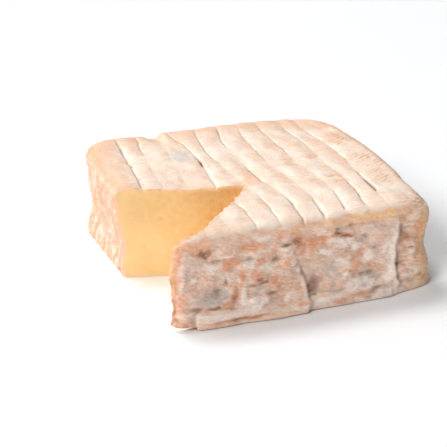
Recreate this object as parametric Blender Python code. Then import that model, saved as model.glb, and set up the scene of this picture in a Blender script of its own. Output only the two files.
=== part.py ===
"""A square washed-rind cheese with one wedge cut out of it, in metres, +Z up.

The cheese stands on the plane z = 0 and is centred on the origin. Its long front rind faces -Y.
The rack it ripened on left a row of ridges across the top, running front to back.
The knife went in from the left side and from the front left corner and met near the middle.
"""

import math

import bmesh
import bpy
from mathutils import Vector, noise

MM = 0.001

# Driving dimensions
SIDE = 106 * MM
HEIGHT = 36.3 * MM
TOP_EDGE_RADIUS = 4.6 * MM
BOTTOM_EDGE_RADIUS = 1.6 * MM
CORNER_RADIUS = {(-1, 1): 12 * MM, (1, 1): 19 * MM, (1, -1): 12 * MM, (-1, -1): 7 * MM}

# The valleys between the rack's ridges, left to right: where each runs at the back, middle and front
VALLEYS = [
    (-39, -45.5, -47),
    (-30, -36.5, -38),
    (-22.5, -28, -28.5),
    (-15.3, -19, -19.2),
    (-7, -10, -11),
    (2.5, -1.5, -1.5),
    (11, 11, 7.6),
    (19.5, 21, 16),
    (27.5, 30.5, 24.6),
    (36, 38.5, 32.8),
    (45, 46.5, 43),
]
VALLEY_REACH = 45 * MM
RIDGE_DEPTH = 1.4 * MM

# The mesh: columns across each ridge, rows along the ridges, and rows down the sides
COLUMNS_PER_RIDGE = 6
ROWS = 26
ROW_EVENNESS = 0.45
WALL_ROWS = 12

# The knife's path in plan: in at the left side, to the apex, and out behind the front left corner.
# Near the corner it runs along the inside of the front rind, which stays standing as a thin edge.
KNIFE_PATH = [
    (-64, 2.4),
    (-9, -14),
    (-14.5, -22.5),
    (-26, -34.2),
    (-37.5, -46.2),
    (-41.5, -49.2),
    (-46, -49.5),
    (-64, -46.5),
]
KNIFE_OVERRUN = 6 * MM

RIND_COLOUR = (0.83, 0.62, 0.49, 1)
PASTE_COLOUR = (0.86, 0.58, 0.24, 1)
RIND_ROUGHNESS = 0.75
PASTE_ROUGHNESS = 0.45


def clear_scene():
    for thing in list(bpy.data.objects):
        bpy.data.objects.remove(thing)


def hill(value, centre, width):
    """A smooth bump of height 1 at the centre."""
    return math.exp(-(((value - centre) / width) ** 2))


def rise(value, low, high):
    """Goes smoothly from 0 at low to 1 at high."""
    share = min(max((value - low) / (high - low), 0), 1)
    return share * share * (3 - 2 * share)


def quarter_round(across, up):
    """Maps the square 0..1 by 0..1 onto a quarter disc."""
    return across * math.sqrt(1 - up * up / 2), up * math.sqrt(1 - across * across / 2)


def round_edge(inset, gap, radius):
    """Rounds an edge: inset is measured from the side, gap from the top or bottom face."""
    if inset >= radius or gap >= radius:
        return inset, gap
    across, up = quarter_round(1 - inset / radius, 1 - gap / radius)
    return radius * (1 - across), radius * (1 - up)


def round_plan_corner(u, v, half, inset):
    """Rounds the four upright corners, less so further in."""
    corner = (1 if u > 0 else -1, 1 if v > 0 else -1)
    radius = max(CORNER_RADIUS[corner] - inset, 0)
    inner = half - radius
    if radius == 0 or abs(u) <= inner or abs(v) <= inner:
        return u, v
    across, up = quarter_round((abs(u) - inner) / radius, (abs(v) - inner) / radius)
    return corner[0] * (inner + across * radius), corner[1] * (inner + up * radius)


def outward(x, y):
    """The level direction that faces out of the cheese beside a point of its rim."""
    reach = SIDE / 2 - max(CORNER_RADIUS.values())
    away = Vector((x - min(max(x, -reach), reach), y - min(max(y, -reach), reach)))
    return away.normalized() if away.length > 0 else Vector((0, 0))


def waist(z, centre, depth):
    """The sides sink in at mid height and swell towards the foot."""
    return -depth * hill(z, centre, 10 * MM)


def front_swell(x, z):
    """How far the front rind stands out: a foot, one slanting fold and one upright crease."""
    lean = -1.6 * MM * z / HEIGHT
    groove = 7.5 * MM - 3.9 * MM * rise(x, -SIDE / 2, 0)
    foot = 1.0 * MM * rise(-z, -groove - 1 * MM, -groove + 1 * MM) - 0.7 * MM * hill(z, groove + 1 * MM, 1.6 * MM)
    corner_break = -3.0 * MM * rise(-x, 38 * MM, 47 * MM) * rise(-z, -8 * MM, -3 * MM)
    fold = x + 6.6 * MM - 0.376 * (25.7 * MM - z)
    proud = 0.9 * MM * math.exp(min(fold, 0) / (12 * MM)) * rise(-fold, -2 * MM, 2 * MM)
    sunk = -1.2 * MM * math.exp(-max(fold, 0) / (9 * MM)) * rise(fold, -2 * MM, 2 * MM)
    folded = (proud + sunk) * rise(-z, -29 * MM, -24 * MM)
    crease = x - 36.2 * MM
    behind = -2.4 * MM * math.exp(-max(crease, 0) / (6 * MM)) * rise(crease, -0.7 * MM, 1.6 * MM)
    lip = 0.6 * MM * hill(crease, -1.2 * MM, 2 * MM)
    creased = (behind + lip) * rise(z, 1 * MM, 6 * MM) * rise(-z, -33 * MM, -29 * MM)
    hollow = -1.1 * MM * hill(x, -33 * MM, 5 * MM) * hill(z, 12 * MM, 5 * MM)
    return lean + waist(z, 19 * MM, 0.6 * MM) + foot + corner_break + folded + creased + hollow


def right_swell(y, z):
    """The right side bows out behind and tapers to the front at the top, over a full foot."""
    top = 2.6 * MM * (1 - ((y - 14 * MM) / (59 * MM)) ** 2)
    corner = hill(y, -48 * MM, 14 * MM)
    foot = 2.6 * MM - 1.7 * MM * corner
    share = z / HEIGHT
    shoulder = 2.0 * MM * corner * hill(z, 27 * MM, 5 * MM)
    return top * share + foot * (1 - share) + shoulder + waist(z, 18 * MM, 3.3 * MM)


def back_swell(x, z):
    return waist(z, 16 * MM, 1.6 * MM) + 0.5 * MM * hill(x, -15 * MM, 30 * MM)


def left_swell(y, z):
    """The left side bows out at the top and stays in at the foot of the front corner."""
    bow = 2.6 * MM * hill(y, -2 * MM, 32 * MM) * z / HEIGHT
    foot = -2.0 * MM * hill(y, -50 * MM, 12 * MM) * rise(-z, -8 * MM, -2 * MM)
    return bow + foot + waist(z, 15 * MM, 2.6 * MM)


def side_swell(x, y, z, facing):
    """Mixes the four sides by the way the surface faces, and roughens them."""
    swell = 0
    for share, amount in (
        (-facing.y, front_swell(x, z)),
        (facing.x, right_swell(y, z)),
        (facing.y, back_swell(x, z)),
        (-facing.x, left_swell(y, z)),
    ):
        swell += max(share, 0) ** 2 * amount
    lumps = noise.noise(Vector((x, y, z * 1.3)) / (11 * MM)) * 0.8 * MM
    return swell + lumps * rise(z, 1 * MM, 8 * MM)


def valley_x(valley, y):
    """Where a valley of the top runs at this depth into the cheese."""
    back, middle, front = (part * MM for part in valley)
    share = y / VALLEY_REACH
    return middle + (back - front) / 2 * share + ((back + front) / 2 - middle) * share * share


def follow_ridges(u, y):
    """Sets even columns out between the valleys. Gives x and the height of the ridge's section, 0 to 1."""
    lines = [-SIDE / 2] + [valley_x(valley, y) for valley in VALLEYS] + [SIDE / 2]
    place = (u / SIDE + 0.5) * (len(lines) - 1)
    ridge = min(int(place + 1e-6), len(lines) - 2)
    share = place - ridge
    x = lines[ridge] + share * (lines[ridge + 1] - lines[ridge])
    if ridge == 0:
        share = 0.5 + share / 2
    elif ridge == len(lines) - 2:
        share = share / 2
    return x, max(math.sin(math.pi * share), 0) ** 0.7


def top_relief(crest, x, y):
    """Height of the top face against the nominal height: ridges, a flattened patch and low corners."""
    flattened = 0.75 * hill(x, -31 * MM, 10 * MM) * hill(y, 4 * MM, 24 * MM)
    flattened += 0.6 * hill(x, -33 * MM, 13 * MM) * hill(y, -48 * MM, 16 * MM)
    ridge = RIDGE_DEPTH * (1 - flattened) * (crest - 1)
    uneven = noise.noise(Vector((x, y, 0)) / (24 * MM)) * 0.6 * MM
    sunk_ridge = -1.4 * MM * hill(x, -22 * MM, 4.5 * MM) * hill(y, 47 * MM, 10 * MM)
    sagged = -1.4 * MM * hill(x, -30 * MM, 13 * MM) * hill(y, -8 * MM, 15 * MM)
    split = -1.6 * MM * hill(x, -44.5 * MM, 2.4 * MM) * hill(y, -5 * MM, 12 * MM)
    pit = -1.8 * MM * hill(x, -17.8 * MM, 2.2 * MM) * hill(y, 11 * MM, 4 * MM)
    left_corner = -1.8 * MM * hill(x, -52 * MM, 7 * MM) * hill(y, -52 * MM, 10 * MM)
    right_corner = -3.4 * MM * hill(x, 54 * MM, 12 * MM) * hill(y, -54 * MM, 18 * MM)
    right_rim = -1.0 * MM * rise(x, 36 * MM, 54 * MM)
    return ridge + uneven + sunk_ridge + sagged + split + pit + left_corner + right_corner + right_rim


def cheese_point(corner):
    """Moves a point of the plain square box to its place on the finished cheese."""
    half = SIDE / 2
    v = half * (ROW_EVENNESS * corner.y / half + (1 - ROW_EVENNESS) * math.sin(math.pi * corner.y / SIDE))
    u, crest = follow_ridges(corner.x, v)
    z = corner.z
    reach = max(abs(u), abs(v))
    inset = half - reach
    gap = HEIGHT - z
    inset, gap = round_edge(inset, gap, TOP_EDGE_RADIUS)
    z = HEIGHT - gap
    inset, z = round_edge(inset, z, BOTTOM_EDGE_RADIUS)
    scale = (half - inset) / reach if reach else 1
    x, y = round_plan_corner(u * scale, v * scale, half - inset, inset)
    facing = outward(x, y)
    near_side = math.exp(-inset / (7 * MM))
    swell = side_swell(x, y, z, facing) * near_side
    top_share = rise(z, HEIGHT - TOP_EDGE_RADIUS, HEIGHT - 0.3 * TOP_EDGE_RADIUS)
    relief = top_relief(crest, x, y) * top_share
    return Vector((x + facing.x * swell, y + facing.y * swell, z + relief))


def lower_rim(mesh, rim, scale, drop):
    """Extrudes the open rim downwards, or inwards where scale is under 1, and gives the new rim."""
    made = bmesh.ops.extrude_edge_only(mesh, edges=rim)["geom"]
    lower = [part for part in made if isinstance(part, bmesh.types.BMVert)]
    bmesh.ops.scale(mesh, verts=lower, vec=(scale, scale, 1))
    bmesh.ops.translate(mesh, verts=lower, vec=(0, 0, -drop))
    return [part for part in made if isinstance(part, bmesh.types.BMEdge)]


def box_mesh():
    """A box of even rows: a grid for the top, walls extruded down from its rim, and a flat foot."""
    mesh = bmesh.new()
    columns = COLUMNS_PER_RIDGE * (len(VALLEYS) + 1)
    bmesh.ops.create_grid(mesh, x_segments=columns, y_segments=ROWS, size=SIDE / 2)
    bmesh.ops.translate(mesh, verts=mesh.verts, vec=(0, 0, HEIGHT))
    rim = [edge for edge in mesh.edges if edge.is_boundary]
    level = HEIGHT
    for row in range(1, WALL_ROWS + 1):
        below = HEIGHT * (1 + math.cos(math.pi * row / WALL_ROWS)) / 2
        rim = lower_rim(mesh, rim, 1, level - below)
        level = below
    rim = lower_rim(mesh, rim, 1 - 2 * BOTTOM_EDGE_RADIUS / SIDE, 0)
    bmesh.ops.contextual_create(mesh, geom=rim)
    bmesh.ops.recalc_face_normals(mesh, faces=mesh.faces)
    return mesh


def make_material(name, colour, roughness):
    material = bpy.data.materials.new(name)
    material.use_nodes = True
    shader = material.node_tree.nodes["Principled BSDF"]
    shader.inputs["Base Color"].default_value = colour
    shader.inputs["Roughness"].default_value = roughness
    return material


def link_object(name, mesh, material):
    data = bpy.data.meshes.new(name)
    mesh.to_mesh(data)
    mesh.free()
    data.materials.append(material)
    thing = bpy.data.objects.new(name, data)
    bpy.context.collection.objects.link(thing)
    return thing


def middle_of(points):
    """The middle of the outline in plan, which the swollen sides move off the box's own middle."""
    xs = [point.co.x for point in points]
    ys = [point.co.y for point in points]
    return Vector(((min(xs) + max(xs)) / 2, (min(ys) + max(ys)) / 2, 0))


def make_knife(shift):
    """The wedge that the knife took out, as an upright prism that runs past the top and the foot."""
    mesh = bmesh.new()
    floor = mesh.faces.new([mesh.verts.new((x * MM, y * MM, -KNIFE_OVERRUN)) for x, y in KNIFE_PATH])
    raised = bmesh.ops.extrude_face_region(mesh, geom=[floor])["geom"]
    upper = [part for part in raised if isinstance(part, bmesh.types.BMVert)]
    bmesh.ops.translate(mesh, verts=upper, vec=(0, 0, HEIGHT + 2 * KNIFE_OVERRUN))
    bmesh.ops.translate(mesh, verts=mesh.verts, vec=shift)
    bmesh.ops.recalc_face_normals(mesh, faces=mesh.faces)
    knife = link_object("knife_path", mesh, make_material("paste", PASTE_COLOUR, PASTE_ROUGHNESS))
    knife.hide_render = True
    knife.display_type = "WIRE"
    return knife


def make_cheese():
    """The whole cheese: shaped point by point, centred on the origin and then cut."""
    mesh = box_mesh()
    for point in mesh.verts:
        point.co = cheese_point(point.co)
    shift = -middle_of(mesh.verts)
    bmesh.ops.translate(mesh, verts=mesh.verts, vec=shift)
    cheese = link_object("cheese_block", mesh, make_material("rind", RIND_COLOUR, RIND_ROUGHNESS))
    cut = cheese.modifiers.new("wedge_taken_out", "BOOLEAN")
    cut.operation = "DIFFERENCE"
    cut.solver = "EXACT"
    cut.material_mode = "TRANSFER"
    cut.object = make_knife(shift)
    cheese.data.shade_smooth()
    cheese.data.set_sharp_from_angle(angle=math.radians(50))


clear_scene()
make_cheese()
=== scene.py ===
"""A square washed-rind cheese with a notch cut into it, dressed over its CAD solid."""

import functools
import math

import bmesh
import bpy
from mathutils import Matrix, Vector, kdtree, noise


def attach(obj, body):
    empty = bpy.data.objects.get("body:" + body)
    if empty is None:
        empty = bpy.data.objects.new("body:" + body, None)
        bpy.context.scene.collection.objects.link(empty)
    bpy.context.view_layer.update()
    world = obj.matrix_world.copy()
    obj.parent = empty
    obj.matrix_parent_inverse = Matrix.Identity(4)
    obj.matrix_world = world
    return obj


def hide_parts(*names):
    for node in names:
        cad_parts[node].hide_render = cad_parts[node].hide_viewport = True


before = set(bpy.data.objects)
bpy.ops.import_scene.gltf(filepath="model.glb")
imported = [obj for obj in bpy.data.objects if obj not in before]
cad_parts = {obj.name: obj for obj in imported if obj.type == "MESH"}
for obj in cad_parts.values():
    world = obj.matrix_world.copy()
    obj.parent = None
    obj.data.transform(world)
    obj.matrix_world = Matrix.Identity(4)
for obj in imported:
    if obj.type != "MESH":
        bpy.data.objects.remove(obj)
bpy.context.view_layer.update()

# The cheese's shape
# Soft curd that drained in a square mould, was turned by hand, and ripened on a rack whose bars
# pressed ridges into its top. The sides sank in, cracked and pitted as the washed rind formed.
# Lengths here are millimetres, and the finished mesh is scaled to metres.

MM = 0.001
SIDE = 106
HALF = SIDE / 2
HEIGHT = 36.3
TOP_EDGE_RADIUS = 4.6
BOTTOM_EDGE_RADIUS = 1.6
CORNER_RADIUS = {(-1, 1): 12, (1, 1): 19, (1, -1): 12, (-1, -1): 7}
CENTRING = Vector((-0.303, 0.444, 0))

# Where each valley between two ridges runs, at these depths into the cheese from back to front
STATIONS = (50, 33, 17, 0, -17, -33, -50)
VALLEYS = [
    (-38.2, -40.2, -41.6, -43.6, -45.6, -46.8, -47.5),
    (-29.8, -32.6, -35.2, -36.5, -37.5, -38, -38.5),
    (-21.5, -23, -25.5, -27.5, -28.5, -28.8, -29),
    (-16.6, -15, -15, -17.3, -18.8, -18, -19),
    (-5, -8.2, -9.4, -8.7, -8.3, -8.2, -10.2),
    (5, 0.8, -0.2, -0.6, -0.5, 1, -1.4),
    (13.5, 10.3, 9.2, 8.4, 9.5, 9.9, 7.3),
    (22, 20.2, 20, 18.6, 19.8, 19.3, 16.3),
    (31.5, 30.6, 30.7, 29.2, 29.4, 27.8, 24.6),
    (39, 37.6, 38.3, 38.6, 36.9, 35.2, 33),
    (46, 45.5, 45.5, 45.5, 44.5, 43.5, 42),
]
# How deep each valley is at the same places
VALLEY_DEPTHS = [
    (0.5, 0.7, 0.9, 1.0, 0.6, 0.4, 0.4),
    (0.5, 0.4, 0.2, 0.15, 0.2, 0.3, 0.3),
    (0.5, 0.3, 0.2, 0.25, 0.2, 0.25, 0.3),
    (0.6, 0.6, 0.7, 0.5, 0.4, 0.4, 0.4),
    (0.5, 0.5, 0.45, 0.35, 0.3, 0.4, 0.4),
    (0.4, 0.5, 0.4, 0.6, 0.4, 0.6, 0.6),
    (0.4, 0.4, 0.4, 0.35, 0.4, 0.6, 0.6),
    (0.4, 0.35, 0.35, 0.3, 0.4, 0.6, 0.6),
    (0.3, 0.3, 0.35, 0.3, 0.45, 0.7, 0.6),
    (0.3, 0.35, 0.5, 0.6, 0.8, 0.6, 0.4),
    (0, 0, 0, 0, 0, 0, 0),
]

# The mesh is finer in the valleys, along the back and front edges, and at both ends of the walls
COLUMNS_PER_RIDGE = 16
COLUMN_CROWDING = 0.35
ROWS = 220
ROW_EVENNESS = 0.75
WALL_ROWS = 64
WALL_EVENNESS = 0.75


def hill(value, centre, width):
    """A smooth bump of height 1 at the centre."""
    return math.exp(-(((value - centre) / width) ** 2))


def rise(value, low, high):
    """Goes smoothly from 0 at low to 1 at high."""
    share = min(max((value - low) / (high - low), 0), 1)
    return share * share * (3 - 2 * share)


def curve(value, stations):
    """Reads a value off the smooth line through these (place, height) stations."""
    if value <= stations[0][0]:
        return stations[0][1]
    for (start, low), (end, high) in zip(stations, stations[1:]):
        if value <= end:
            return low + (high - low) * rise(value, start, end)
    return stations[-1][1]


# Beyond three of its half widths a patch has faded away
PATCH_END = 3**2


def patch(across, up, place, sharpness=1.0):
    """How strongly a point lies in an oval patch (x, z, half width, half height, strength)."""
    x, z, width, height, strength = place
    reach = ((across - x) / width) ** 2 + ((up - z) / height) ** 2
    return strength * math.exp(-(reach**sharpness)) if reach < PATCH_END else 0


def patches(across, up, places, sharpness=1.0):
    """How strongly a point lies in these patches together."""
    return sum(patch(across, up, place, sharpness) for place in places)


def lumps(x, y, z, size, seed=0.0):
    """Smooth noise of this grain size, about -1 to 1."""
    return noise.noise(Vector((x / size + seed, y / size - seed, z / size + 0.5 * seed))) * 1.6


def quarter_round(across, up):
    """Maps the square 0..1 by 0..1 onto a quarter disc."""
    return across * math.sqrt(1 - up * up / 2), up * math.sqrt(1 - across * across / 2)


def round_edge(inset, gap, radius):
    """Rounds an edge: inset is measured from the side, gap from the top or bottom face."""
    if inset >= radius or gap >= radius:
        return inset, gap
    across, up = quarter_round(1 - inset / radius, 1 - gap / radius)
    return radius * (1 - across), radius * (1 - up)


def round_plan_corner(plan_x, plan_y, half, inset):
    """Rounds the four upright corners, less so further in."""
    corner = (1 if plan_x > 0 else -1, 1 if plan_y > 0 else -1)
    radius = max(CORNER_RADIUS[corner] - inset, 0)
    inner = half - radius
    if radius == 0 or abs(plan_x) <= inner or abs(plan_y) <= inner:
        return plan_x, plan_y
    across, up = quarter_round((abs(plan_x) - inner) / radius, (abs(plan_y) - inner) / radius)
    return corner[0] * (inner + across * radius), corner[1] * (inner + up * radius)


def outward(x, y):
    """The level direction that faces out of the cheese beside a point of its rim."""
    reach = HALF - max(CORNER_RADIUS.values())
    away = Vector((x - min(max(x, -reach), reach), y - min(max(y, -reach), reach)))
    return away.normalized() if away.length > 0 else Vector((0, 0))


WAIST_REACH = 10


def waist(z, centre, depth):
    """The sides sink in at mid height and swell towards the foot."""
    return -depth * hill(z, centre, WAIST_REACH)


# Features of the front were measured on the flat at its foot, along a line of sight from the left
# and above: what stands further back is seen further left and higher up.
SIGHT_LEFT = 0.4275
SIGHT_UP = 0.4655


def seen(x, z, behind):
    """Where a point this far behind the front's flat is seen on it."""
    return x - SIGHT_LEFT * behind, z + SIGHT_UP * behind


def fold_place(x, z):
    """How far right of the slanting fold in the front rind a point is."""
    return x - (1.4 - 0.1 * z - 0.0085 * z * z - 1.3 * rise(-z, -4, -1))


def crease_place(x, z):
    """How far right of the upright crease in the front rind a point is."""
    return x - (35 + 1.3 * ((z - 16) / 15) ** 2 + 2.2 * rise(-z, -9, -4) + 0.15 * lumps(0, 0, z, 3, 5.1))


# The pressed lip along the foot of the front: how high it reaches and how far it stands out
LIP_TOP = [
    (-53, 8.2), (-45, 7), (-40, 6.2), (-35, 5.7), (-28, 5.2), (-15, 4.2), (-4, 4.4), (3, 5.6),
    (16, 5.6), (20, 6), (27, 6.2), (33, 4.6), (53, 3),
]
LIP_REACH = [
    (-53, 0.7), (-44, 1.2), (-30, 1.2), (-25, 0.7), (-6, 0.6), (3, 0.9), (14, 0.9), (19, 0.6),
    (27, 0.7), (33, 0.5), (38, 0),
]


def lip_top(x):
    """How high the lip reaches here."""
    return curve(x, LIP_TOP) + 0.3 * lumps(x, 0, 0, 7, 3.7) + 0.2 * lumps(x, 0, 0, 2.5, 8.3)


# Pits, slits, folds and raised scabs of the front rind: x, z, half width, half height, height
FRONT_SCARS = [
    (-40, 28.5, 1.1, 0.9, -0.45), (-30, 24.6, 3.4, 1.4, 0.35), (-24.7, 22.9, 2.6, 1.2, 0.6),
    (-23.4, 25, 2.2, 0.7, -0.6), (-26, 18, 0.9, 4.2, 0.45), (-28.3, 13, 1.4, 3.2, 0.4),
    (-34.2, 12.8, 2.2, 2, -0.9), (-35, 14.6, 1.6, 0.7, -0.4), (-32, 17.2, 0.8, 2.2, -0.6),
    (-38.3, 18.3, 2.8, 2.6, 0.5), (-37.5, 23, 2.2, 2, 0.4), (-36, 25.9, 3.5, 0.8, -0.5),
    (-35.7, 7.7, 2, 0.8, -0.6), (-24.9, 11.5, 1.1, 3.8, 0.5), (-21.8, 14.4, 2.2, 0.6, -0.7),
    (-17.2, 14.8, 2, 0.7, -0.9), (-20, 17.3, 3, 1.4, 0.6), (-19.5, 7.8, 4.2, 1.8, 0.5),
    (-14.8, 10, 2.4, 0.9, -0.5), (-9.3, 28, 2, 0.6, -0.8), (-9.5, 26.4, 3, 0.9, 0.35),
    (-13, 23.3, 2.2, 0.6, -0.6), (-11.5, 23.4, 1.6, 0.6, -0.4), (-8.5, 20.6, 2, 2, 0.4),
    (-16, 20.4, 2.4, 1.4, 0.3), (-20, 2.1, 6, 0.6, -0.6), (4, 28.3, 4.4, 0.5, -0.4),
    (3.6, 26.8, 2, 1, 0.4), (11.2, 29.2, 1.8, 0.6, -0.8), (14.6, 27.9, 2, 0.6, -0.9),
    (12.5, 26.8, 3.4, 0.9, 0.4), (11, 30.8, 1.6, 0.8, -0.5), (18.6, 23.3, 1.7, 1.2, 0.5),
    (21.8, 26.5, 1, 0.8, -0.7), (26.2, 21.2, 1.4, 0.8, -0.6), (6.3, 23, 2.2, 1, 0.35),
    (20.8, 11.7, 2.4, 0.8, -0.7), (24.8, 11.6, 1.6, 0.9, -0.6), (20.8, 8, 4.8, 1.7, 0.8),
    (6.8, 6.6, 3.4, 0.8, -0.5), (7, 4.2, 3.6, 1.3, 0.4), (28.8, 5.4, 3, 0.6, -0.4),
    (35.4, 13.3, 0.8, 0.7, -0.8), (42.3, 17.4, 2.6, 0.8, 0.5), (40.2, 19, 2.6, 0.6, -0.5),
    (40, 7, 2.4, 1.3, 0.4), (44, 26, 1.8, 2.4, -0.3),
]


def front_swell(x, z):
    """How far the front rind stands out: a foot, one slanting fold and one upright crease."""
    lean = -1.6 * z / HEIGHT + waist(z, 19, 0.6)
    x, z = seen(x, z, -lean)
    groove = lip_top(x)
    lip = curve(x, LIP_REACH)
    foot = lip * rise(-z, -groove - 0.7, -groove + 0.7) - 0.5 * lip * hill(z, groove + 1.2, 1.4)
    corner_break = rise(-x, 42.3, 43.6) * (-0.6 * rise(-z, -9, -5) - 4.6 * rise(-z, -2.0, -0.8))
    fold = fold_place(x, z)
    proud = 0.8 * math.exp(min(fold, 0) / 10) * rise(-fold, -1.0, 0.8)
    sunk = -1.0 * math.exp(-max(fold, 0) / 9) * rise(fold, -1.0, 1.2)
    folded = (proud + sunk) * rise(-z, -24, -17)
    crease = crease_place(x, z)
    behind = -1.8 * math.exp(-max(crease, 0) / 7) * rise(crease, -0.3, 0.7)
    edge = 0.35 * hill(crease, -0.9, 1.4)
    creased = (behind + edge) * rise(z, 2, 6) * rise(-z, -33, -27)
    toe = 1.4 * hill(x, -12, 10) * rise(-z, -2.2, -1.0)
    scars = 1.25 * patches(x, z, FRONT_SCARS)
    return lean + foot + toe + corner_break + folded + creased + scars


def right_swell(y, z):
    """The right side bows out behind and tapers to the front at the top, over a full foot."""
    top = 2.6 * (1 - ((y - 14) / 59) ** 2)
    corner = hill(y, -48, 14)
    foot = 3.0 - 0.4 * corner
    share = z / HEIGHT
    shoulder = 2.4 * corner * hill(z, 27, 5)
    slope = -1.2 * hill(y, -42, 27) * rise(z, 26, 34) - (0.5 + 0.7 * hill(y, -34, 14)) * rise(z, 22, 30)
    return top * share + foot * (1 - share) + shoulder + slope + 0.3 * hill(z, 11, 4) + waist(z, 18, 3.5)


def back_swell(x, z):
    """The back sinks in a little at mid height, and bows out a little behind the notch."""
    return waist(z, 16, 1.6) + 0.5 * hill(x, -15, 30)


def left_streak(y, z):
    """The slanting wrinkles down the left side, about -1 to 1."""
    long_streaks = lumps(0, (y + 0.4 * z) * 1.5, z * 0.4, 3, 7.3)
    short_streaks = lumps(0, (y + 0.5 * z) * 1.3, z * 0.5, 1.4, 2.3)
    return long_streaks + 0.6 * short_streaks


def left_swell(y, z):
    """The left side bows out at the top and stays in at the ends, as at the foot in front."""
    bow = 2.6 * hill(y, -2, 32) * z / HEIGHT + 0.9 * hill(z, 21, 11) * hill(y, 22, 32)
    pulled_in = -1.9 * rise(-z, -17, -11) - 1.7 * hill(z, 7, 3.5) - 0.9 * rise(-z, -6.5, -3.5)
    foot = hill(y, -50, 12) * pulled_in
    front_end = hill(y, -52, 9) * (-1.8 * rise(z, 20, 34) - 1.3 * rise(z, 27, 35))
    back_end = -1.0 * hill(y, 46, 14) * hill(z, 30, 7)
    hollow = waist(z, 15, 2.6) * (1 - 0.75 * hill(y, -52, 12))
    return bow + foot + front_end + back_end + hollow + 0.45 * left_streak(y, z)


def crags(x, y, z):
    """The dried and pitted skin of the sides: ragged lumps with sunken seams between them."""
    height = 0.25 + 0.75 * lumps(x, y, z * 1.25, 8, 3.1)
    height -= 0.75 * abs(lumps(x, y, z * 1.4, 4.6, 7.7))
    height += 0.3 * lumps(x, y, z * 1.3, 2.6, 1.9)
    height -= 0.14 * abs(lumps(x, y, z * 1.2, 1.6, 5.3))
    return height


def side_swell(x, y, z, facing):
    """Mixes the four sides by the way the surface faces, and roughens them."""
    swell = 0
    for share, side, along_side in (
        (-facing.y, front_swell, x),
        (facing.x, right_swell, y),
        (facing.y, back_swell, x),
        (-facing.x, left_swell, y),
    ):
        if share > 0:
            swell += share**2 * side(along_side, z)
    rough = 0.8 * noise.noise(Vector((x, y, z * 1.3)) / 11)
    below_rim = rise(-z, -(HEIGHT - 1.5), -(HEIGHT - 6.5))
    skin = crags(x, y, z) * below_rim * (1 - 0.5 * max(-facing.x, 0))
    if facing.y < -0.7:
        skin *= 0.3 + 0.4 * rise(z, lip_top(x), lip_top(x) + 2) + 0.35 * rise(x, 36, 40)
    if facing.x > 0 and facing.y < 0:
        # The front right corner is smoother, and its foot turns under
        skin *= 1 - 0.65 * (2 * facing.x * facing.y) ** 2
        turn = math.degrees(math.atan2(-facing.y, facing.x))
        swell -= 2.6 * hill(turn, 60, 21) * rise(-z, -8, -1.5)
    return swell + (rough + skin) * rise(z, 0.6, 5)


def along(values, y):
    """A value that is known at the stations, at this depth into the cheese."""
    y = min(max(y, STATIONS[-1]), STATIONS[0])
    step = 0
    while step < len(STATIONS) - 2 and y < STATIONS[step + 1]:
        step += 1
    share = (STATIONS[step] - y) / (STATIONS[step] - STATIONS[step + 1])
    before = values[max(step - 1, 0)]
    start, end = values[step], values[step + 1]
    after = values[min(step + 2, len(values) - 1)]
    leave, arrive = (end - before) / 2, (after - start) / 2
    bend = (start - end) * 2 + leave + arrive
    return start + share * (leave + share * ((end - start) * 3 - 2 * leave - arrive + share * bend))


LINE_STEPS_PER_MM = 20


@functools.cache
def lines_at(step):
    """Where the left edge, each valley and the right edge run, so many steps back from the middle."""
    y = step / LINE_STEPS_PER_MM
    lines = [-HALF]
    for index, valley in enumerate(VALLEYS):
        lines.append(along(valley, y) + 0.25 * lumps(7.3 * index, y, 0, 5, 2.2))
    return lines + [HALF]


def ridge_lines(y):
    """The same at this depth into the cheese, to the nearest step."""
    return lines_at(round(LINE_STEPS_PER_MM * y))


def ridge_place(x, y):
    """Which ridge a point is on, and how far across it, 0 to 1."""
    lines = ridge_lines(y)
    ridge = 0
    while ridge < len(lines) - 2 and x > lines[ridge + 1]:
        ridge += 1
    width = lines[ridge + 1] - lines[ridge]
    return ridge, min(max((x - lines[ridge]) / width, 0), 1)


# A valley's slopes: how gently each runs out, and where it is left off
LEFT_SLOPE = 3.4
RIGHT_SLOPE = 2.2
LEFT_SLOPE_END = 12
RIGHT_SLOPE_END = 7


def valley_drop(x, y):
    """How far the valleys pull the top down: steep on their right, long and easy on their left."""
    drop = 0
    near_rim = min(HALF - abs(x), HALF - abs(y))
    fade = 0.4 + 0.6 * rise(near_rim, 1, 7)
    for line, depths in zip(ridge_lines(y)[1:-1], VALLEY_DEPTHS):
        away = x - line
        if -LEFT_SLOPE_END < away < RIGHT_SLOPE_END:
            ease = math.exp(away / LEFT_SLOPE if away < 0 else -away / RIGHT_SLOPE)
            drop += along(depths, y) * fade * ease
    return drop


# The creases that stay open along the valleys: the valley, where it starts and ends, its depth
CREASES = [
    (0, -20, 46, 0.9),
    (1, 30, 48, 0.5),
    (3, 22, 46, 0.4),
    (3, 9.5, 22, 1.6),
    (3, -22, 9, 0.6),
    (3, -52, -28, 0.4),
    (4, 14, 46, 0.5),
    (4, -50, -28, 0.45),
    (5, 24, 46, 0.5),
    (5, -14, 3, 1.3),
    (5, -52, -31, 1.0),
    (6, 6, 42, 0.3),
    (6, -51, -35, 1.0),
    (7, 10, 46, 0.3),
    (7, -48, -32, 0.9),
    (8, 10, 40, 0.3),
    (8, -47, -25, 1.1),
    (9, -2, 6, 0.7),
    (9, -36, -17, 1.5),
    (9, 8, 30, 0.4),
]
# How far to either side a crease is felt, and how far past its ends it fades out
CREASE_REACH = 2
CREASE_TAPER = 2


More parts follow.
